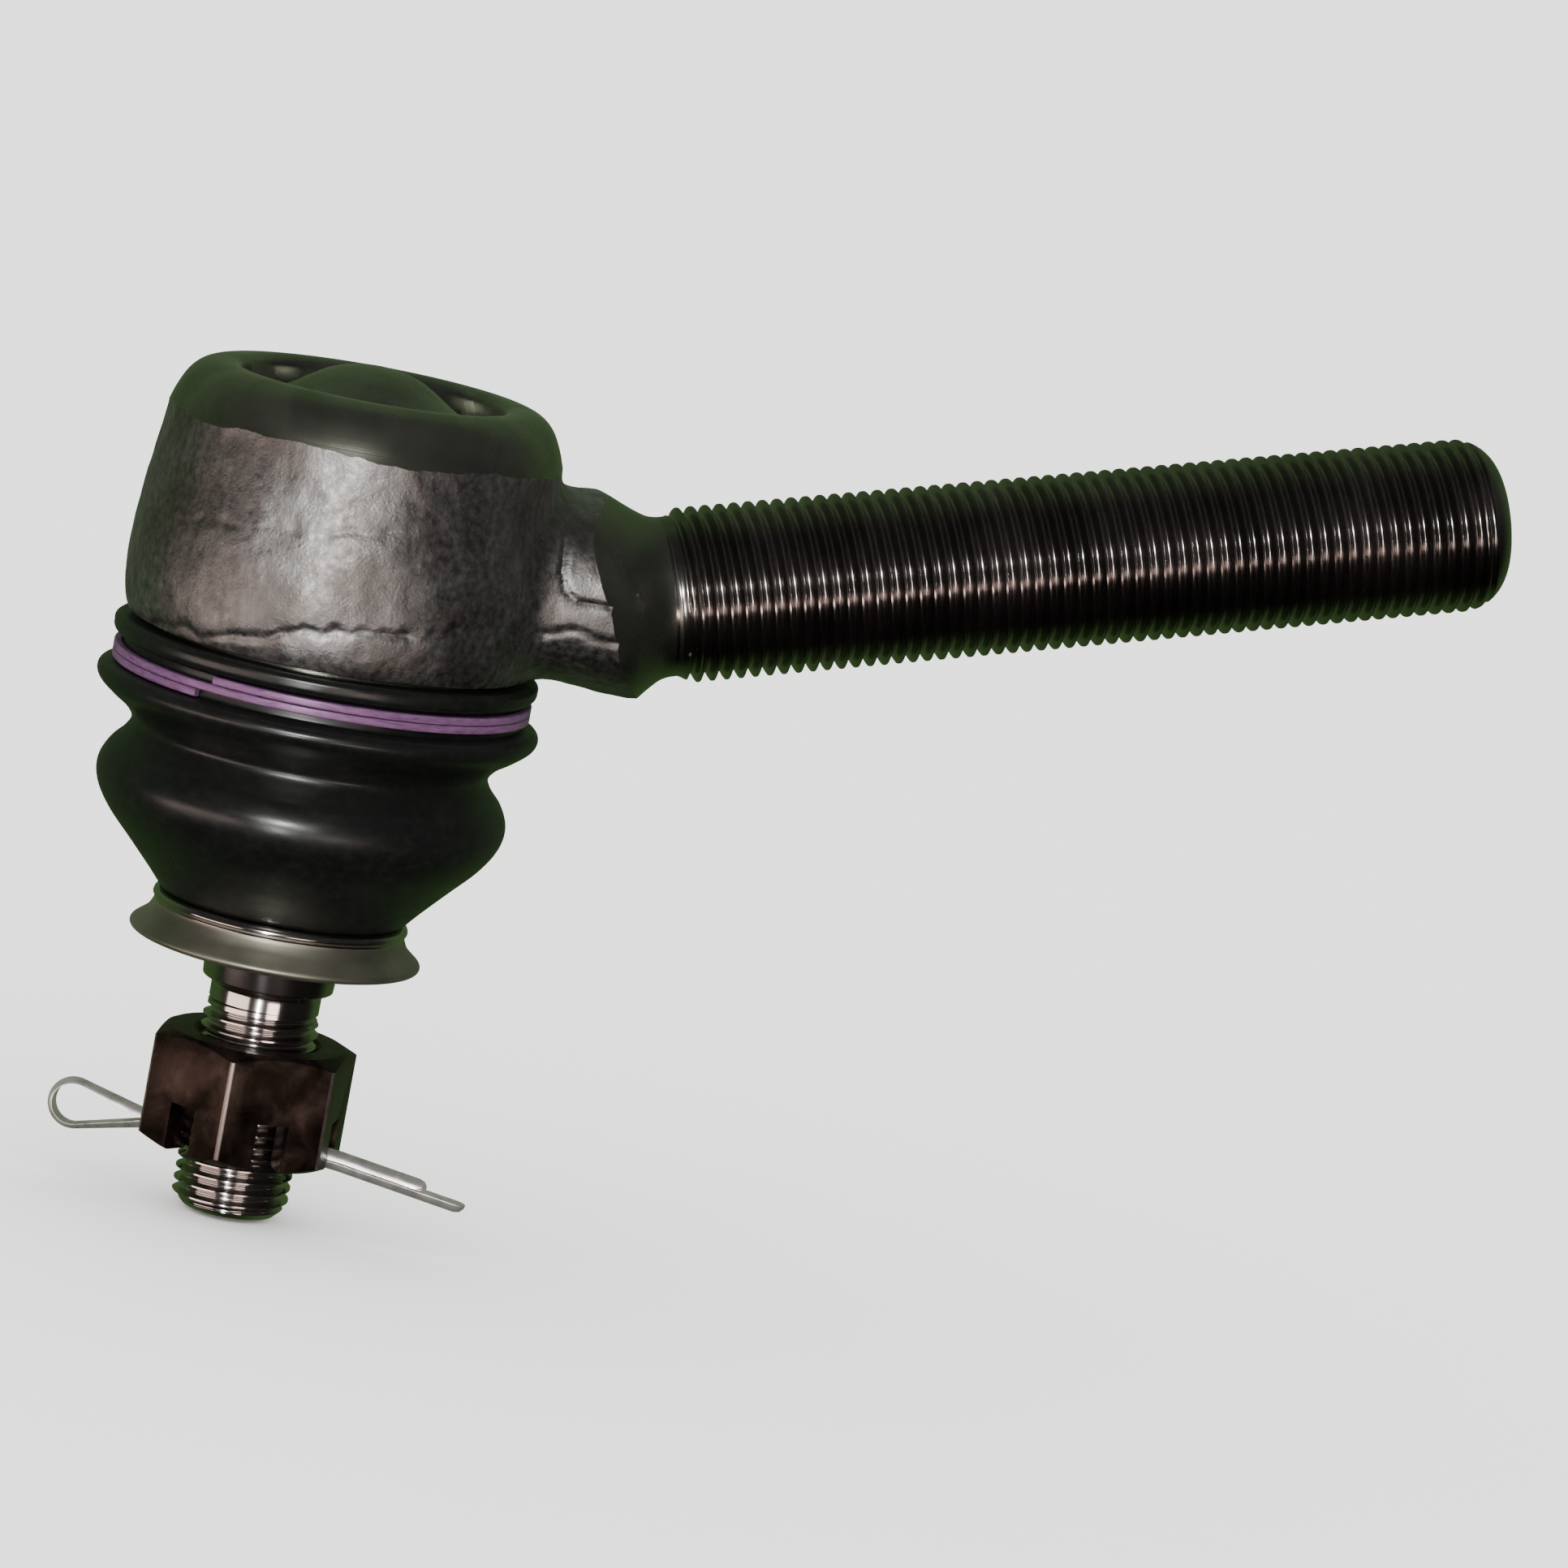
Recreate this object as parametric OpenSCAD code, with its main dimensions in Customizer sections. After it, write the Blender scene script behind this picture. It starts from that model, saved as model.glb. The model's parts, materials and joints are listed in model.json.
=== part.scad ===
// Tie rod end: a ball stud held in a forged housing with a threaded shank, sealed by a
// rubber boot, with a slotted nut and a cotter pin on the stud.
// The origin is on the stud's axis at the large end of its taper. +Z points up the stud to the
// ball and the cover, and +X points to the side on which the shank stands out.

/* [Ball and stud] */
// Diameter of the ball
ball_d = 25; // [24.5:0.1:25.2]
// Height of the ball's centre above the large end of the taper
ball_height = 28; // [28:0.5:34]
// Diameter at the large end of the taper
taper_d = 15.8; // [15.2:0.1:16]
// Length of the taper
taper_length = 18.5; // [18:0.5:22]
// Millimetres of length for each millimetre of diameter that the taper loses
taper_ratio = 8; // [7:1:10]
// Diameter of the stud's neck below the ball
neck_d = 13.8; // [12:0.1:13.9]
// Major diameter of the stud's thread
stud_thread_d = 12; // [10:0.5:12]
// Length of the stud below its taper
stud_tail = 23.8; // [22:0.1:26]

/* [Housing] */
// Widest diameter of the forged bowl
bowl_d = 43.4; // [43:0.2:46]
// Diameter of the bore that holds the two seats
seat_bore_d = 29; // [29:0.1:30]
// Diameter of the forged neck between the bowl and the shank
arm_d = 19.4; // [18:0.2:20]
// Depth of the neck's middle below the ball's centre
arm_drop = 1.1; // [0:0.1:1.5]
// Distance from the stud's axis to the bend where the shank starts
bend_x = 28.1; // [28:0.5:32]
// Depth of the bend below the ball's centre
bend_drop = 2.1; // [1:0.1:2.5]

/* [Shank] */
// Major diameter of the shank's thread
shank_d = 18; // [16:0.5:18]
// Length of the threaded stretch
thread_length = 83; // [60:1:110]
// Angle by which the shank rises from the horizontal, in degrees
shank_rise = 14; // [0:1:20]

/* [Boot] */
// Thickness of the rubber
boot_wall = 1.6; // [1.2:0.1:2]
// Diameter of the lower ring's flared rim
seat_rim_d = 30; // [27:0.2:32]
// Thickness of the flat wire of the clamp ring, measured outwards
clamp_wire_t = 0.8; // [0.6:0.1:1]
// Height of one turn of the clamp ring
clamp_turn_h = 0.85; // [0.6:0.05:0.9]

/* [Nut and cotter pin] */
// Size across the flats of the slotted nut
nut_af = 19; // [19:0.5:21]
// Height of the slotted nut
nut_height = 12; // [11:0.5:13]
// Width of the nut's slots
slot_w = 3.3; // [2.8:0.1:3.5]
// Depth of the nut's slots
slot_depth = 5; // [4:0.5:6]
// Radius of one half-round leg of the cotter pin
leg_r = 1; // [0.7:0.05:1.1]
// Reach of the longer leg from the stud's axis
long_leg = 24.2; // [18:0.1:30]
// Reach of the shorter leg from the stud's axis
short_leg = 19.9; // [14:0.1:26]
// Direction of the cotter pin's legs about the stud, from the shank's side, in degrees
pin_angle = -20; // [-30:1:30]
// Angle by which the cotter pin's legs droop outside the nut, in degrees
leg_droop = 7; // [0:1:12]

/* [Hidden] */
$fn = 96;

// Running clearance between the ball and its seats, and between loose fits
run_gap = 0.05;
// Gap between pieces that only lie close together
loose_gap = 0.15;

ball_r = ball_d / 2;
bowl_r = bowl_d / 2;
seat_bore_r = seat_bore_d / 2;

// Heights of the housing's features, from the ball's centre
lip_top = 16;
lip_under = 13.4;
cover_floor = 11.4;
turned_band_z = 9.8;
seat_floor = -5.8;
throat_z = -7.4;
boot_shelf = -10.9;
housing_foot = -16.9;

// Radii of the housing's features
lip_inner_r = 13.45;
lip_outer_r = 16.5;
shoulder_r = bowl_r - 1.65;
crown_r = shoulder_r - lip_outer_r;
cover_r = 15.3;
throat_r = 10.7;
mouth_r = 14;
boot_land_r = 18.7;

// Heights of the boot and of its lower ring, from the ball's centre
clamp_z = -14.4;
boot_end_z = -38.05;
seat_ring_top = -38.2;
seat_ring_foot = -43.4;
clamp_groove_r = 20.5;
clamp_groove_h = 3 * clamp_turn_h + 0.15;

// Nut and pin, from the origin
nut_top = -taper_length - 5.6;
nut_bottom = nut_top - nut_height;
pin_z = nut_bottom + slot_depth * 0.21;
pin_hole_r = leg_r + 0.5;
// Half the gap between the two legs of the cotter pin
leg_gap = 0.06;

// A point of a circle's arc in the plane
function on_arc(centre, r, angle) = centre + r * [cos(angle), sin(angle)];
// Points along a circle's arc from one angle to the other
function arc(centre, r, from, to, steps) =
    [for (i = [0 : steps]) on_arc(centre, r, from + (to - from) * i / steps)];
// One point of the smooth curve that passes through b and c, where t runs from 0 to 1
function curve_point(a, b, c, d, t) =
    0.5 * (2 * b + (c - a) * t + (2 * a - 5 * b + 4 * c - d) * t * t
        + (3 * b - a - 3 * c + d) * t * t * t);
// A smooth curve through all the given points
function curve(points, steps) = let (last = len(points) - 1) concat(
    [for (i = [0 : last - 1]) for (s = [0 : steps - 1])
        curve_point(points[max(i - 1, 0)], points[i], points[i + 1], points[min(i + 2, last)], s / steps)],
    [points[last]]);
// The same points in the opposite order
function backwards(points) = [for (i = [len(points) - 1 : -1 : 0]) points[i]];
// A section placed across a path: its x runs along side and its y along up
function ring_at(centre, side, up, section) = [for (p = section) centre + p[0] * side + p[1] * up];
// The direction straight out from the stud's axis
function outward(angle) = [cos(angle), sin(angle), 0];

// A solid through rings that all have the same number of points
module loft(rings) {
    sides = len(rings[0]);
    last = len(rings) - 1;
    walls = [for (i = [0 : last - 1]) for (k = [0 : sides - 1]) let (next = (k + 1) % sides)
        [i * sides + k, i * sides + next, (i + 1) * sides + next, (i + 1) * sides + k]];
    first_end = [for (k = [sides - 1 : -1 : 0]) k];
    last_end = [for (k = [0 : sides - 1]) last * sides + k];
    polyhedron([for (ring = rings) each ring], concat(walls, [first_end, last_end]), convexity = 6);
}

// Moves a sub-part from the ball's centre to its place above the origin
module at_ball() {
    translate([0, 0, ball_height]) children();
}

// The outside of the forged bowl, with its swaged lip and the land for the boot
module bowl() {
    lip_edge = arc([lip_inner_r + 0.8, lip_top - 0.8], 0.8, 180, 90, 4);
    crown = arc([lip_outer_r, lip_top - crown_r], crown_r, 90, 0, 6);
    rotate_extrude() polygon(concat(
        [[0, housing_foot + 1], [0, lip_under], [lip_inner_r, lip_under]],
        lip_edge,
        crown,
        [
            [shoulder_r + 0.15, turned_band_z],
            [shoulder_r + 0.65, turned_band_z - 0.6],
            [bowl_r - 0.45, 5.4],
            [bowl_r, -1.5],
            [bowl_r - 0.1, -6],
            [bowl_r - 0.6, -9.3],
            [bowl_r - 1.6, boot_shelf],
            [boot_land_r, boot_shelf],
            [boot_land_r, housing_foot + 0.5],
            [boot_land_r - 0.5, housing_foot],
            [0, housing_foot]
        ]));
}

// The stepped hollow that takes the cover, the spring, the seats and the ball
module cavity() {
    rotate_extrude() polygon([
        [0, housing_foot - 1],
        [mouth_r + 0.35, housing_foot - 1],
        [throat_r, throat_z],
        [throat_r + 0.7, seat_floor],
        [seat_bore_r, seat_floor],
        [seat_bore_r, cover_floor],
        [cover_r + run_gap, cover_floor],
        [cover_r + run_gap, lip_under],
        [lip_inner_r, lip_under],
        [lip_inner_r, lip_under + 1],
        [0, lip_under + 1]
    ]);
}

// The forged neck, level with the ball, and its swelling where it leaves the bowl
module arm() {
    arm_end = bend_x - 2.4;
    root_x = 15;
    swelling = 1.2;
    translate([0, 0, -arm_drop]) {
        rotate([0, 90, 0]) cylinder(r = arm_d / 2, h = arm_end);
        translate([root_x, 0, 0]) rotate([0, 90, 0])
            cylinder(r1 = arm_d / 2 + swelling, r2 = arm_d / 2 - 0.1, h = bowl_r + 3 - root_x);
        translate([arm_end, 0, 0]) sphere(r = arm_d / 2 - 0.05);
    }
}

// The turned collar with its hollow flare, the thread run-out and the shank with its rounded end
module shank() {
    collar_r = 10.9;
    relief_r = shank_d / 2 - 0.8;
    flare_end = 4.8;
    thread_start = 6;
    thread_end = thread_start + thread_length;
    tip_r = 4.6;
    flare = [for (i = [0 : 6]) let (t = i / 6)
        [relief_r + (collar_r - relief_r) * pow(1 - t, 1.7), 0.2 + (flare_end - 0.2) * t]];
    tip = arc([shank_d / 2 - tip_r, thread_end], tip_r, 0, 90, 8);
    translate([bend_x, 0, -bend_drop]) rotate([0, 90 - shank_rise, 0]) rotate_extrude() polygon(concat(
        [[0, -2.3], [arm_d / 2 - 0.15, -2.3], [arm_d / 2 - 0.15, -1.2], [collar_r, -0.6]],
        flare,
        [[relief_r, thread_start - 0.8], [shank_d / 2, thread_start]],
        tip,
        [[0, thread_end + tip_r]]));
}

// Forged housing, turned at its lip and collar, in one piece with its shank
module housing() {
    color("#4a4744") at_ball() difference() {
        union() {
            bowl();
            arm();
            shank();
        }
        cavity();
    }
}

// Pressed steel cover with a raised dome, held under the swaged lip
module cover_plug() {
    sheet = 1.9;
    dome_top = lip_top + 1.8;
    flat_z = lip_under - run_gap;
    outside = curve([[0, dome_top], [3, dome_top - 0.3], [6.4, dome_top - 1.9], [9, flat_z + 0.9],
        [11.3, flat_z]], 4);
    inside = [for (p = outside) [p[0], p[1] - sheet]];
    color("#5b6a55") at_ball() rotate_extrude()
        polygon(concat(outside, [[cover_r, flat_z], [cover_r, flat_z - sheet]], backwards(inside)));
}

// Conical coil spring between the cover's dome and the upper seat
module preload_spring() {
    wire_r = 0.7;
    turns = 2.5;
    steps = 24 * turns;
    foot_r = 10.3;
    top_r = 4.4;
    foot_z = 9.6 + wire_r + run_gap;
    top_z = 13.3;
    section = [for (k = [0 : 7]) wire_r * [cos(45 * k), sin(45 * k)]];
    rings = [for (i = [0 : steps]) let (t = i / steps, angle = 360 * turns * t, out = outward(angle))
        ring_at((foot_r + (top_r - foot_r) * t) * out + [0, 0, foot_z + (top_z - foot_z) * t * t],
            out, [0, 0, 1], section)];
    color("#9a9ca0") at_ball() loft(rings);
}

// A ring around the ball, hollowed to its sphere
module ball_seat(outer_r, low, high) {
    difference() {
        translate([0, 0, low]) cylinder(r = outer_r, h = high - low);
        sphere(r = ball_r + run_gap);
    }
}

// Upper seat, which the spring presses down on the ball
module upper_ball_seat() {
    color("#d8cfae") at_ball() ball_seat(seat_bore_r - 2 * run_gap, 0.5, 9.6);
}

// Lower seat, which rests on the housing's floor and carries the ball
module lower_ball_seat() {
    color("#d8cfae") at_ball() ball_seat(seat_bore_r - run_gap, seat_floor, -0.3);
}

// The stud below the ball: neck, taper, relief groove and threaded end
module stud_shaft() {
    taper_r = taper_d / 2;
    taper_end_r = taper_r - taper_length / taper_ratio / 2;
    relief_depth = 0.3;
    relief_r = stud_thread_d / 2 - relief_depth;
    groove = 3.2;
    tip = -taper_length - stud_tail;
    thread_r = stud_thread_d / 2;
    rotate_extrude() polygon([
        [0, ball_height - ball_r + 4],
        [neck_d / 2, ball_height - ball_r + 4],
        [neck_d / 2, ball_height - 19],
        [taper_r, 2],
        [taper_r, 0],
        [taper_end_r, -taper_length],
        [relief_r, -taper_length - 0.5],
        [relief_r, -taper_length - groove],
        [thread_r, -taper_length - groove - relief_depth],
        [thread_r, tip + 1.2],
        [thread_r - 1.2, tip],
        [0, tip]
    ]);
}

// Ball stud: a hardened ball with a flattened top, in one piece with its tapered stud
module ball_stud() {
    flat_top = ball_r - 1.7;
    color("#b9b5ae") difference() {
        union() {
            at_ball() sphere(r = ball_r);
            stud_shaft();
        }
        at_ball() translate([0, 0, flat_top + ball_r]) cube(2 * ball_r, center = true);
        translate([0, 0, pin_z]) rotate([0, 90, pin_angle])
            cylinder(r = pin_hole_r, h = 2 * stud_thread_d, center = true);
    }
}

// The boot's outer outline from its upper lip to its lower end, as radius and height
function boot_outside() = concat(
    [[21.4, boot_shelf - loose_gap], [21.75, -11.6], [21.6, -12.7],
        [clamp_groove_r, clamp_z + clamp_groove_h / 2], [clamp_groove_r, clamp_z - clamp_groove_h / 2]],
    curve([[21.6, -16], [22.65, -16.9], [21.6, -18.4], [19.2, -20], [18.35, -21.5], [18.9, -22.9],
        [20.5, -24.6], [21, -26.3], [20.6, -28.4], [19.2, -30.6], [15.9, -34], [13.2, -37.2],
        [12.85, boot_end_z]], 3));

// Rubber bellows boot, from the housing's land to the lower ring
module boot() {
    outside = boot_outside();
    collar_r = boot_land_r + run_gap;
    lip_r = taper_d / 2 + 0.3;
    below_land = housing_foot - loose_gap;
    folds = [for (p = outside) if (p[1] < below_land - 1 && p[1] > boot_end_z + 1.5)
        [p[0] - boot_wall, p[1]]];
    inside = concat(
        [[collar_r, boot_shelf - loose_gap], [collar_r, below_land], [collar_r + 1.2, below_land - 0.3]],
        folds,
        [[lip_r, boot_end_z + 1.3], [lip_r, boot_end_z]]);
    color("#1f221f") at_ball() rotate_extrude() polygon(concat(outside, backwards(inside)));
}

// Flat spring wire wound almost two turns around the boot's collar
module boot_clamp_ring() {
    turns = 2;
    steps = 48 * turns;
    split_angle = 231;
    end_gap = 5;
    sweep = 360 * turns - end_gap;
    side_gap = 0.04;
    section = [[0, side_gap], [clamp_wire_t, side_gap], [clamp_wire_t, clamp_turn_h], [0, clamp_turn_h]];
    top_z = clamp_z + clamp_turn_h / 2;
    rings = [for (i = [0 : steps]) let (out = outward(split_angle + sweep * i / steps))
        ring_at((clamp_groove_r + 2 * run_gap) * out + [0, 0, top_z - clamp_turn_h * turns * i / steps],
            out, [0, 0, 1], section)];
    color("#9c6b9e") at_ball() loft(rings);
}

// Flared steel ring at the boot's lower end, loose around the stud's taper
module boot_seat_ring() {
    bore_r = taper_d / 2 - 0.45;
    rim_r = seat_rim_d / 2;
    rim = arc([rim_r - 0.7, -42.1], 0.7, 50, -70, 6);
    color("#8d9182") at_ball() rotate_extrude() polygon(concat(
        [[bore_r, seat_ring_top], [12.6, seat_ring_top], [12.9, seat_ring_top - 0.3],
            [12.95, seat_ring_top - 2], [13.4, seat_ring_top - 3.2]],
        rim,
        [[rim_r - 2.4, seat_ring_foot + 0.4], [rim_r - 3.4, seat_ring_foot], [bore_r, seat_ring_foot]]));
}

// Hexagonal nut with six slots, whose slots open downwards
module slotted_nut() {
    corner_r = nut_af / sqrt(3);
    chamfer = 1.1;
    color("#4a3a33") translate([0, 0, nut_bottom]) rotate([0, 0, pin_angle + 30]) difference() {
        intersection() {
            cylinder(r = corner_r, h = nut_height, $fn = 6);
            rotate_extrude() polygon([
                [0, 0],
                [nut_af / 2 - 0.3, 0],
                [corner_r + 0.2, chamfer],
                [corner_r + 0.2, nut_height - chamfer],
                [nut_af / 2 - 0.5, nut_height],
                [0, nut_height]
            ]);
        }
        translate([0, 0, -1]) cylinder(r = stud_thread_d / 2 + run_gap, h = nut_height + 2);
        for (turn = [30, 90, 150]) rotate([0, 0, turn]) translate([-nut_af, -slot_w / 2, -1])
            cube([2 * nut_af, slot_w, slot_depth + 1]);
    }
}

// The line that the flat of the cotter pin's wire follows, as [along, up, heading]: one leg, the
// eye and the other leg
function pin_line() =
    let (
        eye_r = 2.1,
        throat = nut_af / 2 + 0.5,
        eye_reach = 7.7,
        lean = asin((eye_r - leg_gap) / eye_reach),
        fall = tan(leg_droop))
    concat(
        [
            [long_leg, -leg_gap - (long_leg - throat) * fall, 180 - leg_droop],
            [throat, -leg_gap, 180 - leg_droop / 2],
            [1 - throat, -leg_gap, 180],
            [-throat, -leg_gap, 180 + lean / 2]
        ],
        [for (i = [0 : 10]) let (turn = -90 + lean - (180 + 2 * lean) * i / 10)
            concat(on_arc([-throat - eye_reach, 0], eye_r, turn), turn - 90)],
        [
            [-throat, leg_gap, -lean / 2],
            [1 - throat, leg_gap, 0],
            [throat, leg_gap, -leg_droop / 2],
            [short_leg, leg_gap - (short_leg - throat) * fall, -leg_droop]
        ]);

// Cotter pin of half-round wire, with its eye on one side and two drooping legs on the other
module cotter_pin() {
    along = outward(pin_angle);
    across = outward(pin_angle - 90);
    section = [for (k = [0 : 6]) leg_r * [cos(30 * k), sin(30 * k)]];
    rings = [for (p = pin_line())
        ring_at(p[0] * along + [0, 0, pin_z + p[1]], across, [0, 0, cos(p[2])] - sin(p[2]) * along, section)];
    color("#c9c7c2") loft(rings);
}

housing();
cover_plug();
preload_spring();
upper_ball_seat();
lower_ball_seat();
ball_stud();
boot();
boot_clamp_ring();
boot_seat_ring();
slotted_nut();
cotter_pin();
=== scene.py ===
import json
import math

import bmesh
import bpy
import numpy as np
from mathutils import Matrix, Vector, noise


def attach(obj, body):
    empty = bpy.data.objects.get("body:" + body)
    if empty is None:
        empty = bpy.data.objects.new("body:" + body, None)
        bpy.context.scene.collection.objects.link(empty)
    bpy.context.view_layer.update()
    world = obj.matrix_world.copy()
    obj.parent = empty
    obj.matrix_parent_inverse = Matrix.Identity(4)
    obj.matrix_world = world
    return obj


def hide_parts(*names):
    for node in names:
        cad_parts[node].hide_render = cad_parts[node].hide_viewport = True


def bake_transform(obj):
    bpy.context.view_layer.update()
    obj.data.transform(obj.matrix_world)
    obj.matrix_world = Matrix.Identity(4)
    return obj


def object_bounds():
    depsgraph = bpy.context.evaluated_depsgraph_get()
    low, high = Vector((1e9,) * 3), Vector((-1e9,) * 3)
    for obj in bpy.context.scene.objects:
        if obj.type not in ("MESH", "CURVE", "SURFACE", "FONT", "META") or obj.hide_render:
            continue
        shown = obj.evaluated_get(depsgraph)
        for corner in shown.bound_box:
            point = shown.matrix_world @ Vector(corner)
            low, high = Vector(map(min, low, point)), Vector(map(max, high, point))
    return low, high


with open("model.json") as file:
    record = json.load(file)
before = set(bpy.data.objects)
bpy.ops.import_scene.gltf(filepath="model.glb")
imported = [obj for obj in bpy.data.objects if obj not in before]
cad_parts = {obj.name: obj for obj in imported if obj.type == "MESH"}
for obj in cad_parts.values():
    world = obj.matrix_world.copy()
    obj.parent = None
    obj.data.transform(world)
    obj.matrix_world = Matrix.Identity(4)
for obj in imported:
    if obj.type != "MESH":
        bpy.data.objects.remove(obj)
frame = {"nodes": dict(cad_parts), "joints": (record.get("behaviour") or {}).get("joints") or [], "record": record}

cad_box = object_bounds()

MM = 0.001
BALL_Z = frame["joints"][0]["pos_m"][2] / MM
SHANK = next(m for m in frame["record"]["mounts"] if m["name"] == "shank_thread")
SHANK_RISE = math.atan2(SHANK["axis"][2], SHANK["axis"][0])
SHANK_R = SHANK["dims"]["r_mm"]
THREAD_LENGTH = SHANK["dims"]["length_mm"]
THREAD_START = 6.0                              # along the shank, from its bend
THREAD_MIDDLE = THREAD_START + THREAD_LENGTH / 2
BEND_X = SHANK["pos_m"][0] / MM - THREAD_MIDDLE * math.cos(SHANK_RISE)
BEND_Z = SHANK["pos_m"][2] / MM - THREAD_MIDDLE * math.sin(SHANK_RISE)
SHANK_TIP_R = 4.6                               # rounding of the shank's far end
SHANK_END = THREAD_START + THREAD_LENGTH + SHANK_TIP_R
SHANK_PITCH, STUD_PITCH = 1.5, 1.25
ROUND = 128                                     # sides of every turned piece

# A piece's second material: where a lathe cut the forging, on the foot ring's bright lip and on the
# nut's rubbed corners.
TURNED = LIP = RUBBED = 1


# ---------------------------------------------------------------- camera, lights and floor

def camera():
    """A long lens, low over the part and rolled, as the part is seen when it hangs askew."""
    azimuth, elevation, roll = math.radians(-13.0), math.radians(9.5), math.radians(10.8)
    distance, frame_width = 0.75, 0.1584
    frame_centre = (44.1 * MM, -24.75 * MM)      # right and up of the ball
    back = Vector((math.sin(azimuth) * math.cos(elevation), -math.cos(azimuth) * math.cos(elevation),
                   math.sin(elevation)))
    level = Vector((math.cos(azimuth), math.sin(azimuth), 0))
    upright = back.cross(level)
    right = level * math.cos(roll) + upright * math.sin(roll)
    up = upright * math.cos(roll) - level * math.sin(roll)
    data = bpy.data.cameras.new("camera")
    data.sensor_width = 36
    data.lens = data.sensor_width * distance / frame_width
    data.clip_start, data.clip_end = 0.01, 20
    obj = bpy.data.objects.new("camera", data)
    place = Vector((0, 0, BALL_Z * MM)) + right * frame_centre[0] + up * frame_centre[1] + back * distance
    obj.matrix_world = Matrix((
        (right.x, up.x, back.x, place.x),
        (right.y, up.y, back.y, place.y),
        (right.z, up.z, back.z, place.z),
        (0, 0, 0, 1)))
    bpy.context.scene.collection.objects.link(obj)
    bpy.context.scene.camera = obj


def lamp(name, azimuth, elevation, size, power, colour, unlit):
    """A rectangular lamp that stands off the ball and lights all but the floor. Azimuth 0 is
    straight in front of the part, and less than 0 is to its left."""
    distance = 0.8
    aimed_at = Vector((0.02, 0, BALL_Z * MM))
    data = bpy.data.lights.new(name, "AREA")
    data.shape = "RECTANGLE"
    data.size, data.size_y = size
    data.energy = power
    data.color = colour
    obj = bpy.data.objects.new(name, data)
    around, rise = math.radians(azimuth), math.radians(elevation)
    level = math.cos(rise)
    direction = Vector((math.sin(around) * level, -math.cos(around) * level, math.sin(rise)))
    obj.location = aimed_at + direction * distance
    obj.rotation_mode = "QUATERNION"
    obj.rotation_quaternion = direction.to_track_quat("Z", "Y")
    obj.light_linking.receiver_collection = unlit
    obj.light_linking.blocker_collection = unlit
    bpy.context.scene.collection.objects.link(obj)


def lights(ground):
    """A small white lamp by the camera, a low one under it, and rosy ones on the left and below."""
    unlit = bpy.data.collections.new("unlit")
    unlit.objects.link(ground)
    unlit.collection_objects[0].light_linking.link_state = "EXCLUDE"
    white, rosy = (1.0, 0.99, 0.97), (1.0, 0.78, 0.71)
    lamp("flash", -18, 10, (0.10, 0.035), 5.0, white, unlit)
    lamp("low_strip", -20, -13, (0.035, 0.16), 1.6, white, unlit)
    lamp("rosy_left", -66, -14, (0.70, 0.20), 1.6, rosy, unlit)
    lamp("rosy_low", 10, -14, (0.30, 0.08), 0.7, rosy, unlit)


def surroundings():
    """White to the camera and to what is matt. Polished metal mirrors a dark room in front of the
    part and a dim green backdrop behind it."""
    dark_room, green_backdrop = (0.008, 0.007, 0.007, 1), (0.060, 0.120, 0.038, 1)
    world = bpy.data.worlds.new("surroundings")
    bpy.context.scene.world = world
    world.use_nodes = True
    nodes, links = world.node_tree.nodes, world.node_tree.links
    nodes.clear()
    white, mirrored = nodes.new("ShaderNodeBackground"), nodes.new("ShaderNodeBackground")
    white.inputs["Color"].default_value = (1, 1, 1, 1)
    white.inputs["Strength"].default_value = 2.6
    direction = nodes.new("ShaderNodeTexCoord")
    depth = nodes.new("ShaderNodeSeparateXYZ")
    ramp = nodes.new("ShaderNodeValToRGB")
    ramp.color_ramp.interpolation = "EASE"
    front, back = ramp.color_ramp.elements
    front.position, front.color = 0.0, dark_room
    back.position, back.color = 0.6, green_backdrop
    path, mix = nodes.new("ShaderNodeLightPath"), nodes.new("ShaderNodeMixShader")
    out = nodes.new("ShaderNodeOutputWorld")
    links.new(direction.outputs["Generated"], depth.inputs[0])
    links.new(depth.outputs["Y"], ramp.inputs["Fac"])
    links.new(ramp.outputs["Color"], mirrored.inputs["Color"])
    links.new(path.outputs["Is Glossy Ray"], mix.inputs["Fac"])
    links.new(white.outputs["Background"], mix.inputs[1])
    links.new(mirrored.outputs["Background"], mix.inputs[2])
    links.new(mix.outputs["Shader"], out.inputs["Surface"])


def floor():
    """A wide pale floor just under the stud's end, which polished metal does not mirror."""
    half, gap = 6.0, 0.0005
    low = cad_box[0][2] - gap
    mesh = bpy.data.meshes.new("floor")
    mesh.from_pydata([(-half, -half, low), (half, -half, low), (half, half, low), (-half, half, low)],
                     [], [(0, 1, 2, 3)])
    obj = in_scene("floor", mesh)
    obj.visible_glossy = False
    paint = Paint("floor_pale", (0.92, 0.92, 0.91), metallic=0, roughness=0.9)
    paint.vary_roughness(paint.noise(30, 4), 0.85, 0.95)
    mesh.materials.append(paint.material)
    return obj


# ---------------------------------------------------------------- materials

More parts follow.
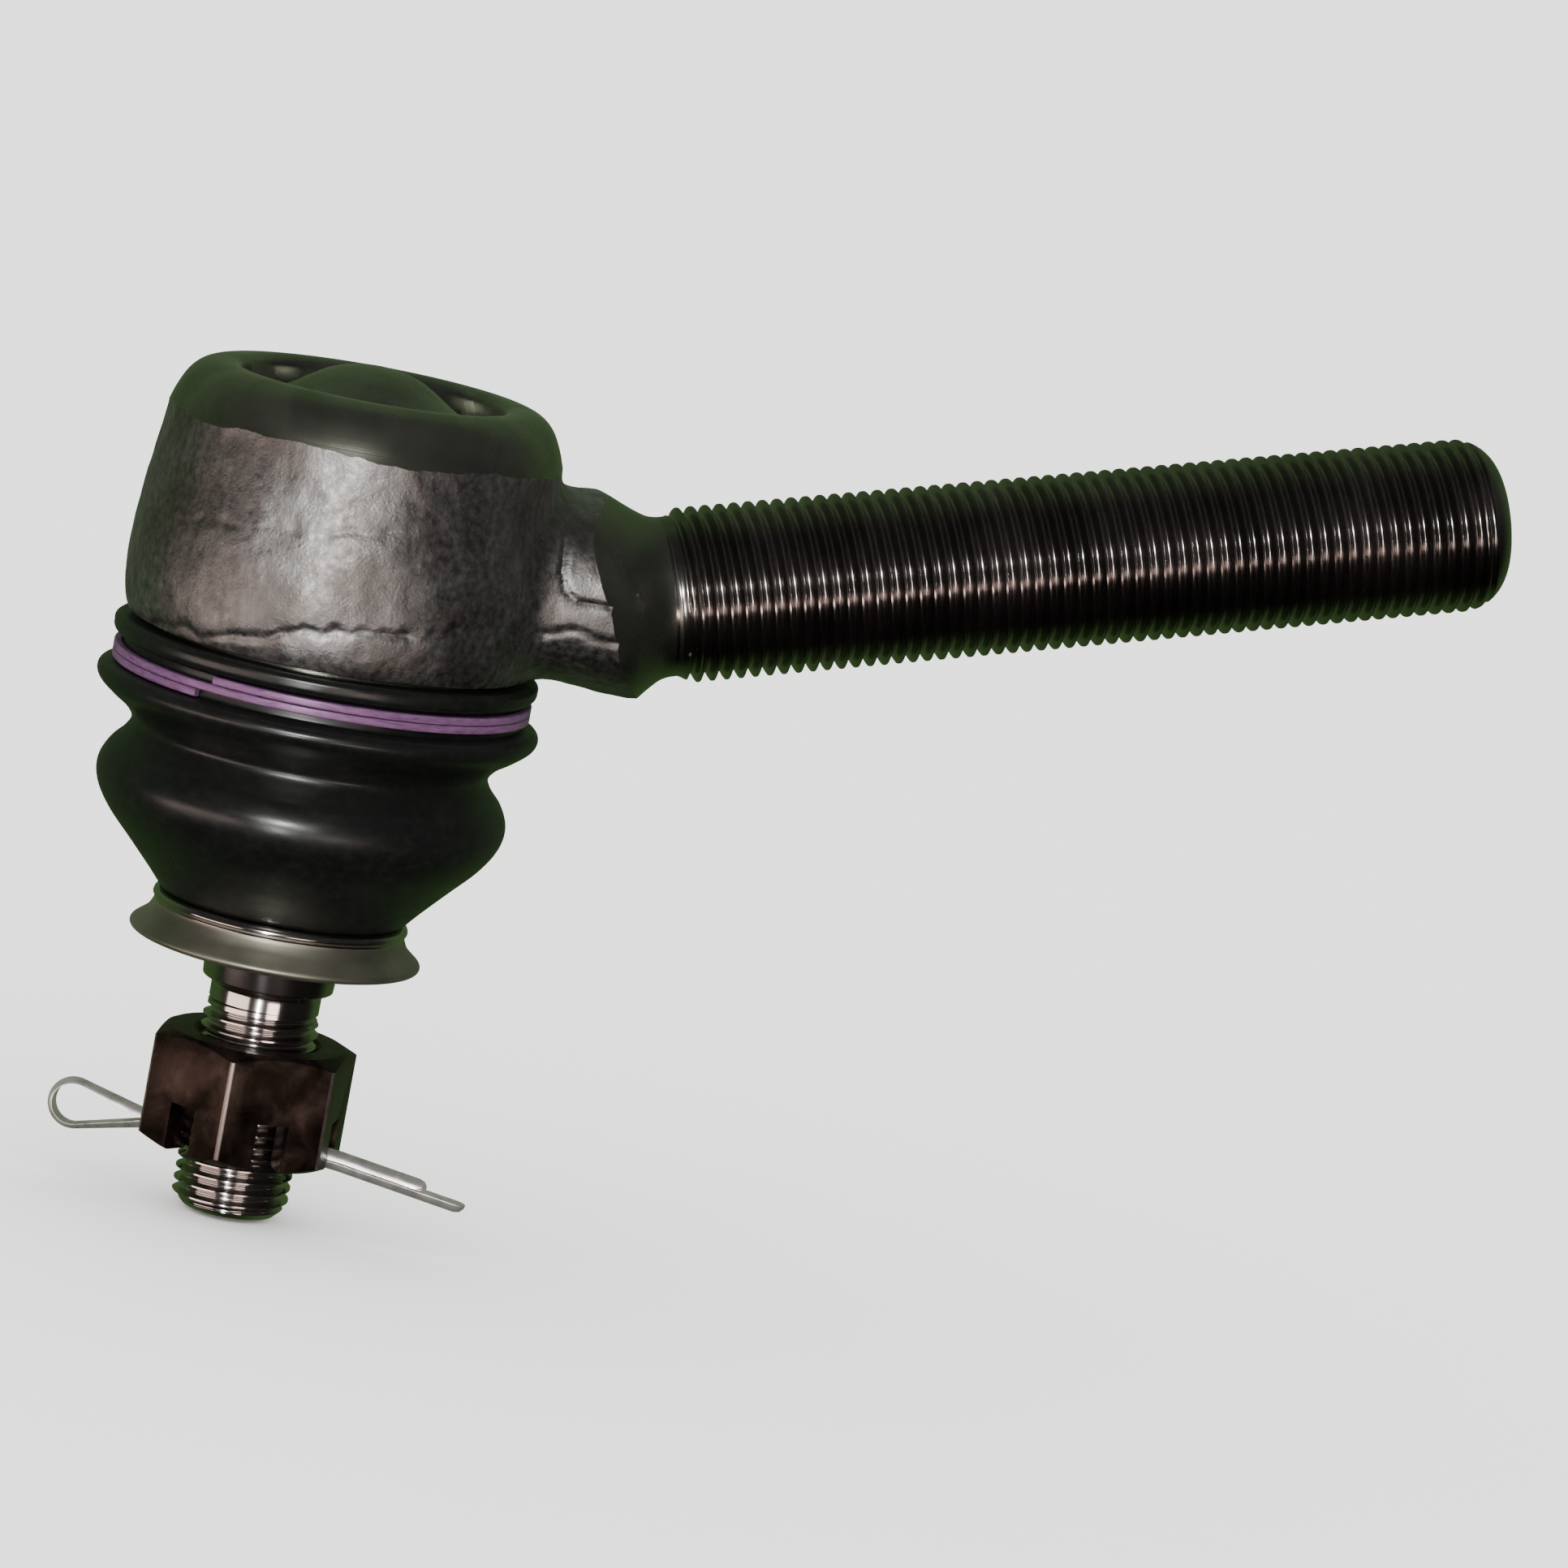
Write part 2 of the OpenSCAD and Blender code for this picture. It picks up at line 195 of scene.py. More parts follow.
class Paint:
    """A Principled material with short calls for the texture nodes that this part needs."""

    def __init__(self, name, base, metallic, roughness):
        self.material = bpy.data.materials.new(name)
        self.material.use_nodes = True
        self.tree = self.material.node_tree
        self.shader = self.tree.nodes["Principled BSDF"]
        self.set("Base Color", (*base, 1))
        self.set("Metallic", metallic)
        self.set("Roughness", roughness)
        self.place = self.node("ShaderNodeTexCoord").outputs["Object"]

    def node(self, kind, **settings):
        """A new shader node with the given settings."""
        made = self.tree.nodes.new(kind)
        for name, value in settings.items():
            setattr(made, name, value)
        return made

    def set(self, socket, value):
        """A plain value on a socket of the shader."""
        self.shader.inputs[socket].default_value = value

    def link(self, out, into):
        """Joins an output to an input."""
        self.tree.links.new(out, into)

    def maths(self, operation, *values):
        """The outcome of one operation on numbers or sockets."""
        made = self.node("ShaderNodeMath", operation=operation)
        for socket, value in zip(made.inputs, values):
            if isinstance(value, (int, float)):
                socket.default_value = value
            else:
                self.link(value, socket)
        return made.outputs[0]

    def stretched(self, scale):
        """The place scaled along each axis, for grain that runs one way."""
        made = self.node("ShaderNodeMapping")
        made.inputs["Scale"].default_value = scale
        self.link(self.place, made.inputs["Vector"])
        return made.outputs["Vector"]

    def turned(self, axis_point, axis):
        """A coordinate that changes with radius and along the axis, and not around it."""
        offset = self.node("ShaderNodeVectorMath", operation="SUBTRACT")
        offset.inputs[1].default_value = axis_point
        self.link(self.place, offset.inputs[0])
        dot = self.node("ShaderNodeVectorMath", operation="DOT_PRODUCT")
        dot.inputs[1].default_value = axis
        self.link(offset.outputs[0], dot.inputs[0])
        length = self.node("ShaderNodeVectorMath", operation="LENGTH")
        self.link(offset.outputs[0], length.inputs[0])
        squares = self.maths("SUBTRACT", self.maths("POWER", length.outputs["Value"], 2),
                             self.maths("POWER", dot.outputs["Value"], 2))
        radius = self.maths("SQRT", self.maths("MAXIMUM", squares, 0))
        joined = self.node("ShaderNodeCombineXYZ")
        self.link(dot.outputs["Value"], joined.inputs["X"])
        self.link(radius, joined.inputs["Y"])
        return joined.outputs["Vector"]

    def noise(self, scale, detail, place=None, roughness=0.55, distortion=0.0):
        """Cloudy values around 0.5."""
        made = self.node("ShaderNodeTexNoise")
        made.inputs["Scale"].default_value = scale
        made.inputs["Detail"].default_value = detail
        made.inputs["Roughness"].default_value = roughness
        made.inputs["Distortion"].default_value = distortion
        self.link(place or self.place, made.inputs["Vector"])
        return made.outputs["Fac"]

    def cells(self, scale):
        """Distance to the nearest of many scattered points, for small pits."""
        made = self.node("ShaderNodeTexVoronoi", feature="F1")
        made.inputs["Scale"].default_value = scale
        self.link(self.place, made.inputs["Vector"])
        return made.outputs["Distance"]

    def ramp(self, value, stops):
        """Colours by value: stops is a list of (position, (r, g, b))."""
        made = self.node("ShaderNodeValToRGB")
        elements = made.color_ramp.elements
        while len(elements) < len(stops):
            elements.new(0.5)
        for element, (position, colour) in zip(elements, stops):
            element.position = position
            element.color = (*colour, 1)
        self.link(value, made.inputs["Fac"])
        return made.outputs["Color"]

    def mix(self, share, first, second):
        """A blend of two colours, each given as numbers or as a socket."""
        made = self.node("ShaderNodeMix", data_type="RGBA")
        self.link(share, made.inputs["Factor"])
        for socket, value in ((made.inputs[6], first), (made.inputs[7], second)):
            if isinstance(value, tuple):
                socket.default_value = (*value, 1)
            else:
                self.link(value, socket)
        return made.outputs[2]

    def remap(self, value, low, high, to_low, to_high):
        """The value, with the range low to high stretched to another range."""
        made = self.node("ShaderNodeMapRange")
        ends = (("From Min", low), ("From Max", high), ("To Min", to_low), ("To Max", to_high))
        for name, number in ends:
            made.inputs[name].default_value = number
        self.link(value, made.inputs["Value"])
        return made.outputs["Result"]

    def colour(self, out):
        """Takes the base colour from this output."""
        self.link(out, self.shader.inputs["Base Color"])

    def vary_roughness(self, value, low, high):
        """Lets a noise value move the roughness between two limits."""
        self.link(self.remap(value, 0.3, 0.7, low, high), self.shader.inputs["Roughness"])

    def bump(self, *layers):
        """Each layer is (height, strength, depth in mm); the first is the coarsest."""
        normal = None
        for height, strength, depth in layers:
            made = self.node("ShaderNodeBump")
            made.inputs["Strength"].default_value = strength
            made.inputs["Distance"].default_value = depth * MM
            self.link(height, made.inputs["Height"])
            if normal:
                self.link(normal, made.inputs["Normal"])
            normal = made.outputs["Normal"]
        self.link(normal, self.shader.inputs["Normal"])


BALL = (0, 0, BALL_Z * MM)
UP = (0, 0, 1)
BEND = (BEND_X * MM, 0, BEND_Z * MM)
SHANK_WAY = tuple(SHANK["axis"])


def forged_steel():
    """Rough scale on a die forging, grey with brown patches and bright grains."""
    paint = Paint("forged_steel", (0.20, 0.19, 0.185), metallic=1.0, roughness=0.42)
    patches = paint.noise(85, 5, distortion=0.5)
    stain = paint.ramp(patches, [(0.34, (0.13, 0.118, 0.11)), (0.52, (0.23, 0.225, 0.222)),
                                 (0.70, (0.165, 0.15, 0.138))])
    streaks = paint.noise(900, 4, place=paint.stretched((1, 1, 0.3)))
    grain = paint.noise(3600, 4, roughness=0.65)
    paint.colour(paint.mix(paint.remap(streaks, 0.35, 0.7, 0, 0.5), stain, (0.10, 0.095, 0.092)))
    paint.vary_roughness(paint.noise(1300, 4), 0.32, 0.52)
    paint.bump((streaks, 0.18, 0.10), (paint.cells(2300), 0.22, 0.05), (grain, 0.70, 0.045))
    return paint.material


def turned_steel(name, base, roughness, axis_point, axis, grooves=0.03):
    """Lathe-turned steel: fine rings around the axis, with faint smears of oil."""
    paint = Paint(name, base, metallic=1.0, roughness=roughness)
    rings = paint.noise(5200, 2, place=paint.turned(axis_point, axis))
    oil = paint.noise(130, 3, distortion=0.4)
    dark = tuple(0.8 * c for c in base)
    paint.colour(paint.ramp(oil, [(0.3, dark), (0.65, base)]))
    paint.vary_roughness(oil, roughness * 0.92, roughness * 1.15)
    paint.bump((rings, 0.3, grooves))
    return paint.material


def rubber():
    """Moulded black rubber: satin, with faint flow marks and a little dust."""
    paint = Paint("boot_rubber", (0.003, 0.0035, 0.003), metallic=0, roughness=0.32)
    paint.set("Specular IOR Level", 0.5)
    dust = paint.noise(900, 5, roughness=0.65)
    paint.colour(paint.ramp(dust, [(0.45, (0.0018, 0.0022, 0.0018)), (0.8, (0.0045, 0.005, 0.0042))]))
    paint.vary_roughness(paint.noise(170, 4, place=paint.stretched((1, 1, 4))), 0.27, 0.38)
    paint.bump((paint.noise(240, 3, place=paint.stretched((1, 1, 2.5))), 0.16, 0.16), (dust, 0.20, 0.03))
    return paint.material


def purple_wire():
    """Flat spring wire with a satin purple coating."""
    paint = Paint("clamp_purple", (0.10, 0.045, 0.10), metallic=0.45, roughness=0.34)
    streaks = paint.noise(700, 4, place=paint.stretched((1, 1, 6)))
    paint.colour(paint.ramp(streaks, [(0.3, (0.078, 0.032, 0.080)), (0.7, (0.135, 0.062, 0.135))]))
    paint.vary_roughness(streaks, 0.26, 0.46)
    paint.bump((streaks, 0.3, 0.05))
    return paint.material


def nut_steel():
    """Dark brown oiled phosphate."""
    paint = Paint("nut_steel", (0.045, 0.031, 0.026), metallic=1.0, roughness=0.36)
    blotches = paint.noise(330, 5, distortion=0.5)
    paint.colour(paint.ramp(blotches, [(0.3, (0.020, 0.014, 0.012)), (0.52, (0.044, 0.030, 0.025)),
                                       (0.72, (0.085, 0.060, 0.050))]))
    paint.vary_roughness(blotches, 0.28, 0.46)
    paint.bump((paint.noise(700, 4), 0.30, 0.07), (paint.noise(2600, 3), 0.22, 0.02))
    return paint.material


def bright_wire(name, base, roughness, grain_scale, metallic=1.0):
    """Drawn steel wire, with short marks along it."""
    paint = Paint(name, base, metallic=metallic, roughness=roughness)
    marks = paint.noise(grain_scale, 4, distortion=0.4)
    paint.colour(paint.ramp(marks, [(0.25, tuple(0.75 * c for c in base)), (0.6, base)]))
    paint.vary_roughness(marks, roughness * 0.85, roughness * 1.3)
    paint.bump((marks, 0.08, 0.01))
    return paint.material


def acetal():
    """Natural acetal of the seats, slightly translucent and greasy."""
    paint = Paint("seat_plastic", (0.74, 0.70, 0.58), metallic=0, roughness=0.35)
    paint.set("Subsurface Weight", 0.15)
    paint.set("Subsurface Radius", (0.003, 0.002, 0.001))
    grease = paint.noise(220, 5, distortion=0.5)
    paint.colour(paint.ramp(grease, [(0.35, (0.60, 0.52, 0.36)), (0.6, (0.76, 0.72, 0.60))]))
    paint.vary_roughness(grease, 0.2, 0.5)
    paint.bump((grease, 0.2, 0.08))
    return paint.material


# ---------------------------------------------------------------- shapes

def smooth_line(points, steps):
    """A smooth curve through all the given (radius, height) points."""
    line = []
    last = len(points) - 1
    for i in range(last):
        a, b, c, d = (np.array(points[k]) for k in (max(i - 1, 0), i, i + 1, min(i + 2, last)))
        for s in range(steps):
            t = s / steps
            line.append(0.5 * (2 * b + (c - a) * t + (2 * a - 5 * b + 4 * c - d) * t ** 2
                               + (3 * b - a - 3 * c + d) * t ** 3))
    return line + [np.array(points[last])]


def eased(points, radius, steps=4):
    """The same outline with each inner corner rounded by a small arc."""
    line = [np.array(points[0], float)]
    for before, corner, after in zip(points, points[1:], points[2:]):
        corner = np.array(corner, float)
        back, on = np.array(before) - corner, np.array(after) - corner
        cut = min(radius, 0.45 * np.linalg.norm(back), 0.45 * np.linalg.norm(on))
        start = corner + back / np.linalg.norm(back) * cut
        end = corner + on / np.linalg.norm(on) * cut
        for t in np.linspace(0, 1, steps + 1):
            line.append((1 - t) ** 2 * start + 2 * t * (1 - t) * corner + t ** 2 * end)
    return line + [np.array(points[-1], float)]


def fine(points, longest):
    """The same outline with no stretch longer than the given length."""
    line = [np.array(points[0], float)]
    for a, b in zip(points, points[1:]):
        a, b = np.array(a, float), np.array(b, float)
        for t in np.linspace(0, 1, max(1, math.ceil(np.linalg.norm(b - a) / longest)) + 1)[1:]:
            line.append(a + (b - a) * t)
    return line


class Turned:
    """Collects rings around an axis and makes one welded mesh of them. The axis is upright through
    the origin unless another one is given."""

    def __init__(self, origin=(0, 0, 0), along=(0, 0, 1), side=(1, 0, 0)):
        self.origin, self.along, self.side = (Vector(v) for v in (origin, along, side))
        self.third = self.along.cross(self.side)
        self.vertices, self.faces = [], []
        self.angles = [2 * math.pi * j / ROUND for j in range(ROUND)]

    def point(self, distance, radius, angle):
        """The place at a distance along the axis, a radius from it and an angle around it."""
        return (self.origin + self.along * distance
                + (self.side * math.cos(angle) + self.third * math.sin(angle)) * radius)

    def smooth(self, line):
        """Rings through an outline of (radius, distance) points."""
        first = len(self.vertices)
        for radius, distance in line:
            self.vertices += [self.point(distance, radius, a) for a in self.angles]
        for i in range(len(line) - 1):
            for j in range(ROUND):
                k = (j + 1) % ROUND
                low, high = first + i * ROUND, first + (i + 1) * ROUND
                self.faces.append((low + j, low + k, high + k, high + j))

    def thread(self, start, end, pitch, major, outline):
        """A right-hand screw thread between two distances, never wider than the outline, a function
        of the distance. Its rows follow the helix, so its crests are clean lines."""
        depth = 0.6134 * pitch
        crest, flank = 0.06, 0.33               # shares of a pitch, to each side of the crest's middle
        phases = [-0.5, -0.42, -0.35, -0.27, -0.19, -0.12, -crest,
                  0.0, crest, 0.12, 0.19, 0.27, 0.35, 0.42]
        turns = range(-1, math.ceil((end - start) / pitch) + 2)
        rows = [(turn, phase) for turn in turns for phase in phases]
        first = len(self.vertices)
        for turn, phase in rows:
            across = min(1.0, max(0.0, (abs(phase) - crest) / flank))
            across = 0.7 * across + 0.3 * across ** 2 * (3 - 2 * across)
            for angle in self.angles:
                distance = start + pitch * (turn + phase + angle / (2 * math.pi))
                distance = min(end, max(start, distance))
                radius = min(outline(distance), major - depth * across)
                self.vertices.append(self.point(distance, radius, angle))
        for i in range(len(rows) - 1):
            for j in range(ROUND):
                low, high = first + i * ROUND, first + (i + 1) * ROUND
                if j + 1 < ROUND:
                    self.faces.append((low + j, low + j + 1, high + j + 1, high + j))
                elif i + 1 + len(phases) < len(rows):
                    wrap = len(phases) * ROUND
                    self.faces.append((low + j, low + wrap, high + wrap, high + j))

    def mesh(self, name):
        """All rings so far as one mesh."""
        return welded(name, self.vertices, self.faces)


def welded(name, vertices, faces):
    """A clean mesh in metres: doubles joined, empty faces gone, normals outwards."""
    mesh = bpy.data.meshes.new(name)
    mesh.from_pydata([tuple(c * MM for c in v) for v in vertices], [], faces)
    same_place, no_length = 0.002 * MM, 0.001 * MM
    work = bmesh.new()
    work.from_mesh(mesh)
    bmesh.ops.remove_doubles(work, verts=work.verts, dist=same_place)
    bmesh.ops.dissolve_degenerate(work, dist=no_length, edges=work.edges)
    bmesh.ops.recalc_face_normals(work, faces=work.faces)
    work.to_mesh(mesh)
    work.free()
    return mesh


def in_scene(name, mesh):
    """A new object in the scene with this mesh."""
    obj = bpy.data.objects.new(name, mesh)
    bpy.context.scene.collection.objects.link(obj)
    return obj


def piece(name, mesh, body, material, node, sharp=35):
    """Puts a mesh in the scene as a piece that rides on a body and stands for a CAD node. It has one
    material, or several that its polygons choose from."""
    obj = in_scene(name, mesh)
    kinds = [polygon.material_index for polygon in mesh.polygons]
    mesh.materials.clear()
    for look in material if isinstance(material, tuple) else (material,):
        mesh.materials.append(look)
    mesh.polygons.foreach_set("material_index", kinds)
    mesh.shade_smooth()
    mesh.set_sharp_from_angle(angle=math.radians(sharp))
    if any(kinds):
        part_materials(mesh)
    if body:
        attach(obj, body)
    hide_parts(node)
    return obj


def part_materials(mesh):
    """Makes every edge between two materials a sharp one."""
    work = bmesh.new()
    work.from_mesh(mesh)
    for edge in work.edges:
        if len({face.material_index for face in edge.link_faces}) > 1:
            edge.smooth = False
    work.to_mesh(mesh)
    work.free()


def apply_modifiers(obj):
    """The object's mesh with its modifiers worked in."""
    bpy.context.view_layer.update()
    evaluated = obj.evaluated_get(bpy.context.evaluated_depsgraph_get())
    mesh = bpy.data.meshes.new_from_object(evaluated)
    obj.modifiers.clear()
    obj.data = mesh
    return mesh


def cut(obj, tool_mesh, operation="DIFFERENCE"):
    """Applies one boolean to obj and removes the tool."""
    tool = in_scene("tool", tool_mesh)
    modifier = obj.modifiers.new("cut", "BOOLEAN")
    modifier.operation = operation
    modifier.solver = "EXACT"
    modifier.material_mode = "INDEX"
    modifier.object = tool
    apply_modifiers(obj)
    bpy.data.objects.remove(tool)


def prism(outline, low, high):
    """A straight prism over an outline of (x, y) points."""
    return swept("prism", [[(x, y, z) for x, y in outline] for z in (low, high)])


def round_bar(start, end, radius, sides=48):
    """A plain round bar between two points."""
    start, end = Vector(start), Vector(end)
    along = (end - start).normalized()
    side = along.orthogonal().normalized()
    third = along.cross(side)
    angles = [2 * math.pi * k / sides for k in range(sides)]
    return swept("bar", [[at + (side * math.cos(a) + third * math.sin(a)) * radius for a in angles]
                         for at in (start, end)])


def swept(name, rings):
    """A closed solid through rings of points that all have the same count."""
    count = len(rings[0])
    vertices = [p for ring in rings for p in ring]
    faces = []
    for i in range(len(rings) - 1):
        for k in range(count):
            n = (k + 1) % count
            faces.append((i * count + k, i * count + n, (i + 1) * count + n, (i + 1) * count + k))
    faces += [tuple(range(count - 1, -1, -1)), tuple((len(rings) - 1) * count + k for k in range(count))]
    return welded(name, vertices, faces)


def from_ball(line):
    """An outline whose heights are counted from the ball's centre, moved to the frame's origin."""
    return [(r, z + BALL_Z) for r, z in line]


# ---------------------------------------------------------------- housing

BOWL_R = 21.7
NECK_DROP = 1.1                                 # from the ball's centre to the middle of the neck
NECK_HALF_WIDTH, NECK_HALF_HEIGHT = 12.2, 10    # where the neck leaves the bowl
SHANK_RELIEF = 0.8                              # depth of the relief before the shank's thread


def squarer(share):
    """A sine or cosine drawn outwards, which turns an oval into a rounded rectangle."""
    return math.copysign(abs(share) ** 0.87, share)


def forged_blank():
    """The forging before turning: a plain bowl and an oval neck that swells at the bend."""
    bowl = Turned()
    skin = smooth_line([(19.6, 16.4), (20.15, 12.4), (20.3, 9.0), (20.75, 5.4), (21.5, 0), (BOWL_R, -5),
                        (21.3, -9), (20.5, -10.9)], 4)
    bowl.smooth(from_ball([(0, 16.4)] + skin + [(19.6, -11.6), (19.6, -18), (0, -18)]))
    obj = in_scene("forging", bowl.mesh("forging"))
    neck_z = BALL_Z - NECK_DROP
    ovals = [(12, NECK_HALF_WIDTH, 10.2, neck_z), (18, NECK_HALF_WIDTH, NECK_HALF_HEIGHT, neck_z),
             (22, 12.3, 9.8, neck_z), (25, 12.6, 10.0, neck_z), (28, 12.8, 10.3, neck_z),
             (31, 12.9, 10.6, neck_z + 0.2), (36, 12.6, 10.6, neck_z + 0.8)]
    angles = [2 * math.pi * k / 64 for k in range(64)]
    rings = [[(x, wide * squarer(math.cos(a)), z + high * squarer(math.sin(a))) for a in angles]
             for x, wide, high, z in ovals]
    cut(obj, swept("neck", rings), "UNION")
    remesh = obj.modifiers.new("skin", "REMESH")
    remesh.mode = "VOXEL"
    remesh.voxel_size = 0.36 * MM
    apply_modifiers(obj)
    return obj


def places(mesh):
    """The mesh's points in millimetres, from the ball's centre."""
    co = np.empty(len(mesh.vertices) * 3)
    mesh.vertices.foreach_get("co", co)
    return co.reshape(-1, 3) / MM - np.array((0, 0, BALL_Z))


def put_places(mesh, at):
    """Gives the mesh's points these places, in millimetres from the ball's centre."""
    mesh.vertices.foreach_set("co", ((at + np.array((0, 0, BALL_Z))) * MM).ravel())
    mesh.update()


def soften_root(mesh):
    """Smooths the skin where the neck leaves the bowl, which makes the forging's fillet."""
    at = places(mesh)
    neck_reach, bowl_reach, passes, step = 3.2, 3.8, 40, 0.8
    neck = np.hypot(at[:, 1] / NECK_HALF_WIDTH * NECK_HALF_HEIGHT, at[:, 2] + NECK_DROP)
    out = np.hypot(at[:, 0], at[:, 1])
    near_neck = np.clip(1 - np.abs(neck - NECK_HALF_HEIGHT) / neck_reach, 0, 1)
    near_bowl = np.clip(1 - np.abs(out - BOWL_R + 0.5) / bowl_reach, 0, 1)
    weight = np.where(at[:, 0] > 14, np.sqrt(near_neck * near_bowl), 0)
    work = bmesh.new()
    work.from_mesh(mesh)
    work.verts.ensure_lookup_table()
    chosen = np.flatnonzero(weight > 0.02)
    neighbours = {i: [edge.other_vert(work.verts[i]).index for edge in work.verts[i].link_edges]
                  for i in chosen}
    work.free()
    for _ in range(passes):
        moved = at.copy()
        for i in chosen:
            moved[i] += (at[neighbours[i]].mean(axis=0) - at[i]) * step * weight[i]
        at = moved
    put_places(mesh, at)


def bump_line(value, width):
    """1 on a line where the value is 0, fading to 0 about one width away from it."""
    return math.exp(-((value / width) ** 2))


def pad_edge(x, z):
    """Distance outside the rounded pad on the front of the neck, and less than 0 within it."""
    middle_x, middle_z, half_long, half_high, corner_r = 24.5, 3.4, 1.6, 1.5, 2.8
    dx, dz = abs(x - middle_x) - half_long, abs(z - middle_z) - half_high
    return math.hypot(max(dx, 0), max(dz, 0)) + min(max(dx, dz), 0) - corner_r


def bowl_scars(place, ragged):
    """How deep the two scars around the bowl cut: a long one low down and a faint one above it."""
    x, y, z = place
    angle = math.atan2(y, x)
    wave = sum(size * math.sin(count * angle + start)
               for size, count, start in ((0.45, 3.1, 0.6), (0.3, 7.3, 1.9), (0.15, 19, 0)))
    slope, level_from, low_z, high_z = 0.19, 11.0, -6.4, 4.6
    rise = slope * min(x, level_from)
    lower = bump_line(z - low_z - rise - wave - 0.7 * ragged, 0.42 + 0.2 * ragged) * (0.7 + 0.8 * ragged)
    upper = bump_line(z - high_z - rise + 0.6 * wave - 0.5 * ragged, 0.40) * max(0.0, 0.5 + 0.9 * ragged)
    return 0.32 * lower + 0.16 * upper


def neck_scars(place, ragged):
    """How deep the parting scar and the edge of the raised pad cut into the neck."""
    x, y, z = place
    parting_z, no_pad = -4.4, 9.0
    parting = bump_line(z - parting_z - 0.4 * math.sin(0.9 * x) - 0.5 * ragged, 0.42) * (0.8 + 0.4 * ragged)
    edge = pad_edge(x, z) if y < 0 else no_pad
    faded = min(1.0, max(0.0, (7.0 - z) / 2)) * min(1.0, max(0.0, (x - 18.8) / 1.2))
    groove, raised = 0.32 * bump_line(edge, 0.32), 0.12 / (1 + math.exp(4 * edge))
    return 0.24 * parting + faded * (groove - raised)


def scars(place):
    """How deep the dies' marks cut at a place of the forging."""
    x, y, z = place
    bowl_skin, neck_start = 19.4, 20.0
    ragged = noise.noise(Vector((5.5 * math.atan2(y, x) + 0.3 * x, 3.1, 0.2 * z)))
    if math.hypot(x, y) > bowl_skin and x < neck_start:
        return bowl_scars(place, ragged)
    return neck_scars(place, ragged)


def hammer(mesh):
    """Moves the skin in and out: broad dents, fine pits and the scars that the dies left."""
    at = places(mesh)
    normals = np.empty(len(mesh.vertices) * 3)
    mesh.vertex_normals.foreach_get("vector", normals)
    normals = normals.reshape(-1, 3)
    inset = 0.12                                # keeps the dented skin within the CAD's size
    for i, point in enumerate(at):
        place = Vector(point)
        dents = noise.noise(place * 0.14) * 0.20 + noise.noise(place * 0.45 + Vector((7, 0, 0))) * 0.08
        pits = noise.noise(place * 1.6 + Vector((0, 5, 0))) * 0.03
        at[i] += normals[i] * (dents + pits - inset - scars(point))
    put_places(mesh, at)


def sleeve(origin, along, side, inside, reach):
    """What a lathe takes away: all between the turned profile and the reach around the axis."""
    tool = Turned(origin, along, side)
    first, last = inside[0], inside[-1]
    tool.smooth(list(inside) + [(reach, last[1]), (reach, first[1]), first])
    return turned_mesh(tool, "sleeve")


def turned_mesh(tool, name):
    """The tool as a mesh whose faces leave the turned material where they cut."""
    mesh = tool.mesh(name)
    mesh.polygons.foreach_set("material_index", [TURNED] * len(mesh.polygons))
    return mesh


def crown_profile():
    """The cone of the turned crown and its rounded top edge."""
    line = smooth_line([(20.75, 9.2), (20.15, 10.9), (19.6, 12.5), (18.75, 14.2), (17.7, 15.3),
                        (16.5, 15.85), (15.3, 16.0), (14.3, 15.9), (13.65, 15.5), (13.45, 14.9)], 4)
    return fine(line, 0.6)


def flare_profile():
    """The turned flare from the thread's relief out over the end of the forged neck."""
    relief_r = SHANK_R - SHANK_RELIEF
    line = smooth_line([(13.6, -4.2), (12.6, -2.4), (11.7, -0.9), (10.85, 0.4), (10.0, 1.55), (9.1, 2.85),
                        (8.45, 4.0), (relief_r, 5.1), (relief_r, THREAD_START)], 4)
    return fine(line, 0.5)


def forging():
    """The forged skin, then turned at the crown, the boot's land and the flare, and bored."""
    obj = forged_blank()
    soften_root(obj.data)
    hammer(obj.data)
    ball, up, out = (0, 0, BALL_Z), (0, 0, 1), (1, 0, 0)
    bend, way, side = (BEND_X, 0, BEND_Z), (math.cos(SHANK_RISE), 0, math.sin(SHANK_RISE)), (0, 1, 0)
    bowl_reach, shank_reach = 24, 22
    crown = [(bowl_reach, 12.5)] + crown_profile() + [(12.5, 14.9), (12.5, 17.5)]
    cut(obj, sleeve(ball, up, out, crown, bowl_reach))
    land = [(19.9, -10.5), (18.7, -10.9), (18.7, -16.4), (18.2, -16.9), (0, -16.9), (0, -20)]
    cut(obj, sleeve(ball, up, out, land, bowl_reach))
    cut(obj, sleeve(bend, way, side, flare_profile() + [(0, THREAD_START), (0, 16)], shank_reach))
    bore = [(0, 17), (13.45, 17), (13.45, 13.4), (15.35, 13.4), (15.35, 11.4), (14.5, 11.4), (14.5, -5.8),
            (11.4, -5.8), (10.7, -7.4), (14.35, -17.9), (0, -17.9)]
    tool = Turned(ball, up, out)
    tool.smooth(bore)
    cut(obj, turned_mesh(tool, "bore"))
    mesh = obj.data
    bpy.data.objects.remove(obj)
    return mesh


def shank_outline(distance):
    """Largest radius at a distance from the bend: run-out, thread and rounded tip."""
    before, run_out = 0.2, 1.4
    if distance < THREAD_START - before + run_out:
        risen = max(0.0, distance - THREAD_START + before) / run_out
        return SHANK_R - SHANK_RELIEF + SHANK_RELIEF * risen ** 1.5
    reach = max(0.0, distance - (SHANK_END - SHANK_TIP_R)) / SHANK_TIP_R
    return SHANK_R - SHANK_TIP_R + SHANK_TIP_R * math.sqrt(max(0.0, 1 - reach ** 2))


